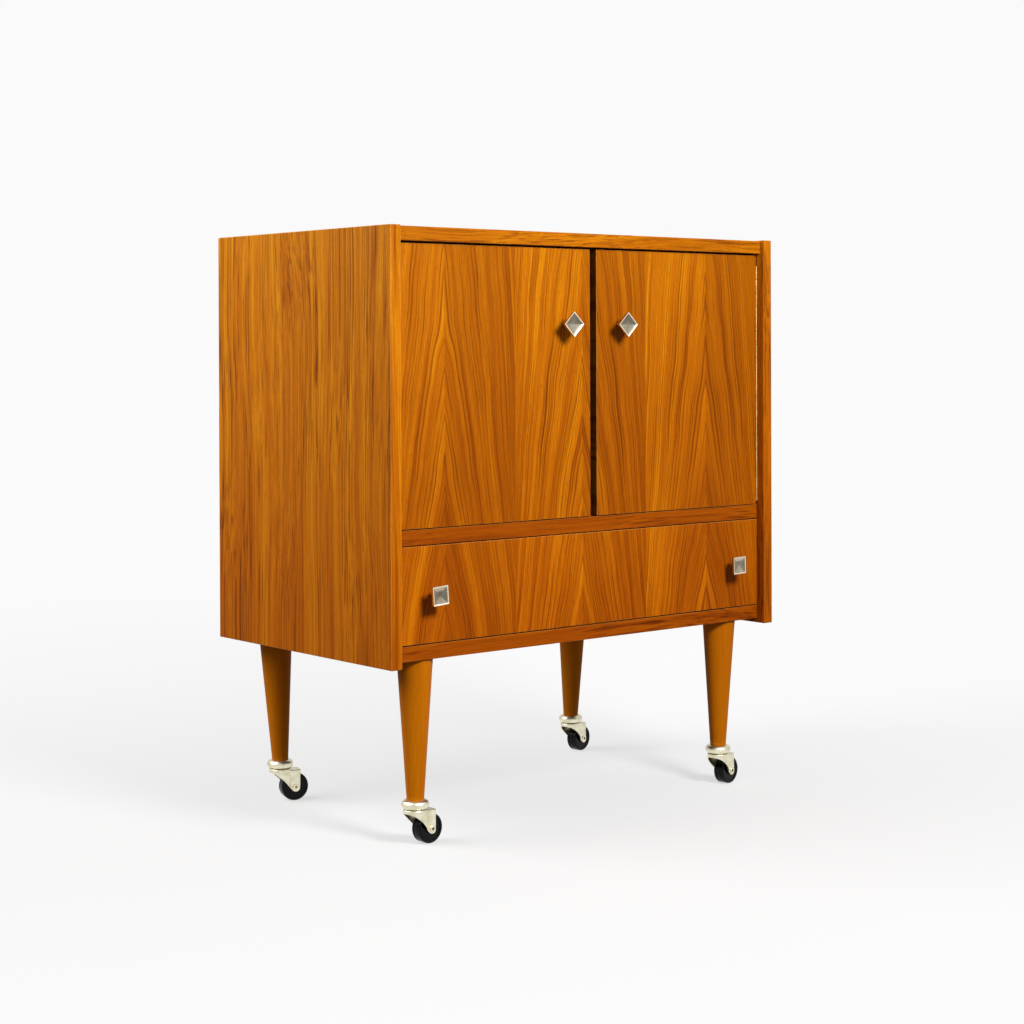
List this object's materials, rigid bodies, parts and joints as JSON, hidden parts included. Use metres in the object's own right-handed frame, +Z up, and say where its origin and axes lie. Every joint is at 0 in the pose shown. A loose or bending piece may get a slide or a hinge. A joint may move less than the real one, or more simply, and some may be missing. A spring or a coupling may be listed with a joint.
{
  "type": "sewing table",
  "caption": "Wooden sewing cabinet on turned legs with swivel casters, a pair of hinged doors over a full-width drawer, and square dished metal knobs.",
  "frame": {"origin": "on the floor under the middle of the bounding box", "axes": "+Z up, the doors and drawer face -Y, +X to the right when facing the front"},
  "size_m": [0.652, 0.393, 0.75],
  "materials": {
    "side_veneer": "satin lacquer",
    "front_veneer": "satin lacquer",
    "edge_veneer": "satin lacquer",
    "leg_wood": "satin lacquer",
    "light_wood": "sanded",
    "back_board": "thin plywood",
    "knob_metal": "satin nickel",
    "caster_metal": "satin nickel",
    "hinge_metal": "aged brass",
    "screw_steel": "zinc plated",
    "catch_plastic": "dark brown",
    "wheel_rubber": "hard black"
  },
  "bodies": {
    "cabinet": {"right_side_panel": "side_veneer", "left_side_panel": "side_veneer", "top_panel": "edge_veneer", "middle_shelf": "edge_veneer", "bottom_panel": "edge_veneer", "back_panel": "back_board", "inner_shelf": "side_veneer", "shelf_pins": "screw_steel", "carcass_dowels": "light_wood", "carcass_screws": "screw_steel", "back_panel_nails": "screw_steel", "right_hinge_cabinet_leaf": "hinge_metal", "left_hinge_cabinet_leaf": "hinge_metal", "hinge_pins": "screw_steel", "magnet_catches": "catch_plastic", "right_drawer_runner": "light_wood", "left_drawer_runner": "light_wood", "leg_bolts": "screw_steel", "caster_rings": "caster_metal", "caster_stems": "caster_metal", "caster_balls": "screw_steel", "leg_front_left": "leg_wood", "leg_front_right": "leg_wood", "leg_back_left": "leg_wood", "leg_back_right": "leg_wood"},
    "drawer": {"drawer_front": "front_veneer", "drawer_right_side": "light_wood", "drawer_left_side": "light_wood", "drawer_back": "light_wood", "drawer_bottom": "back_board", "drawer_knobs": "knob_metal", "drawer_knob_screws": "screw_steel"},
    "left_door": {"left_door": "front_veneer", "left_door_knob": "knob_metal", "left_knob_screw": "screw_steel", "left_strike_plate": "screw_steel", "left_hinge_door_leaf": "hinge_metal", "left_door_screws": "screw_steel", "left_spool_rack": "light_wood", "left_spool_pegs": "light_wood"},
    "right_door": {"right_door": "front_veneer", "right_door_knob": "knob_metal", "right_knob_screw": "screw_steel", "right_strike_plate": "screw_steel", "right_hinge_door_leaf": "hinge_metal", "right_door_screws": "screw_steel", "right_spool_rack": "light_wood", "right_spool_pegs": "light_wood"},
    "caster_front_left": {"caster_fork_front_left": "caster_metal", "caster_axle_front_left": "caster_metal"},
    "wheel_front_left": {"caster_wheel_front_left": "wheel_rubber"},
    "caster_front_right": {"caster_fork_front_right": "caster_metal", "caster_axle_front_right": "caster_metal"},
    "wheel_front_right": {"caster_wheel_front_right": "wheel_rubber"},
    "caster_back_left": {"caster_fork_back_left": "caster_metal", "caster_axle_back_left": "caster_metal"},
    "wheel_back_left": {"caster_wheel_back_left": "wheel_rubber"},
    "caster_back_right": {"caster_fork_back_right": "caster_metal", "caster_axle_back_right": "caster_metal"},
    "wheel_back_right": {"caster_wheel_back_right": "wheel_rubber"}
  },
  "joints": [
    {"name": "left_door_hinge", "type": "hinge", "parent": "cabinet", "child": "left_door", "pos_m": [-0.3085, -0.1754, 0.3854], "axis": [0, 0, -1], "range_deg": [0, 96]},
    {"name": "right_door_hinge", "type": "hinge", "parent": "cabinet", "child": "right_door", "pos_m": [0.3085, -0.1754, 0.3854], "axis": [0, 0, 1], "range_deg": [0, 96]},
    {"name": "drawer_slide", "type": "slide", "parent": "cabinet", "child": "drawer", "axis": [0, -1, 0], "range_m": [0, 0.24]},
    {"name": "swivel_front_left", "type": "hinge", "parent": "cabinet", "child": "caster_front_left", "pos_m": [-0.263, -0.149, 0.05], "axis": [0, 0, 1], "continuous": true},
    {"name": "roll_front_left", "type": "hinge", "parent": "caster_front_left", "child": "wheel_front_left", "pos_m": [-0.24452, -0.14806, 0.0185], "axis": [-0.0506, 0.9987, 0], "continuous": true},
    {"name": "swivel_front_right", "type": "hinge", "parent": "cabinet", "child": "caster_front_right", "pos_m": [0.2595, -0.1477, 0.05], "axis": [0, 0, 1], "continuous": true},
    {"name": "roll_front_right", "type": "hinge", "parent": "caster_front_right", "child": "wheel_front_right", "pos_m": [0.27777, -0.14477, 0.0185], "axis": [-0.1582, 0.9874, 0], "continuous": true},
    {"name": "swivel_back_left", "type": "hinge", "parent": "cabinet", "child": "caster_back_left", "pos_m": [-0.2545, 0.162, 0.05], "axis": [0, 0, 1], "continuous": true},
    {"name": "roll_back_left", "type": "hinge", "parent": "caster_back_left", "child": "wheel_back_left", "pos_m": [-0.23659, 0.15737, 0.0185], "axis": [0.2504, 0.9681, 0], "continuous": true},
    {"name": "swivel_back_right", "type": "hinge", "parent": "cabinet", "child": "caster_back_right", "pos_m": [0.257, 0.157, 0.05], "axis": [0, 0, 1], "continuous": true},
    {"name": "roll_back_right", "type": "hinge", "parent": "caster_back_right", "child": "wheel_back_right", "pos_m": [0.27522, 0.16021, 0.0185], "axis": [-0.1736, 0.9848, 0], "continuous": true}
  ]
}
